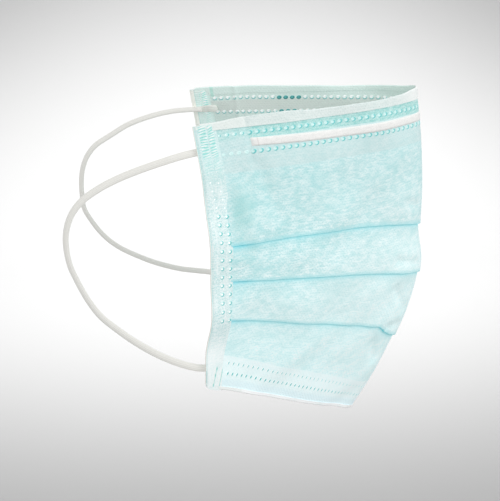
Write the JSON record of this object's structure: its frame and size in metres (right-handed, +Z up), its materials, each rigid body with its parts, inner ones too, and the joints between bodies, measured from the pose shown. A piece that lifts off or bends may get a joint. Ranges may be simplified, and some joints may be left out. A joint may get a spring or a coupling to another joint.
{
  "type": "pleated surgical face mask with ear loops",
  "caption": "Pleated cloth face mask, opened as when worn, with folded edge bindings, welded side bands, a nose strip and elastic ear loops.",
  "frame": {"origin": "where the inner face of the top edge sits on the bridge of the nose, at the middle fold", "axes": "+Z up, -Y forward out of the face, +X towards the wearer's left"},
  "size_m": [0.0942, 0.1351, 0.1336],
  "materials": {
    "cover_cloth": "matte spunbond nonwoven, pale teal outside and white inside",
    "edge_binding": "matte white nonwoven",
    "nose_strip": "white plastic strip with a soft wire core",
    "side_band": "welded nonwoven with embossed dots",
    "loop_weld": "flattened, welded elastic",
    "ear_elastic": "knitted elastic, warm white"
  },
  "bodies": {
    "root": {"pleated_body": "cover_cloth", "top_hem": "edge_binding", "bottom_hem": "edge_binding", "nose_strip": "nose_strip", "side_band_right": "side_band", "side_band_left": "side_band", "loop_weld_right_top": "loop_weld", "loop_weld_right_bottom": "loop_weld", "loop_weld_left_top": "loop_weld", "loop_weld_left_bottom": "loop_weld", "ear_loop_right": "ear_elastic", "ear_loop_left": "ear_elastic"}
  },
  "joints": []
}
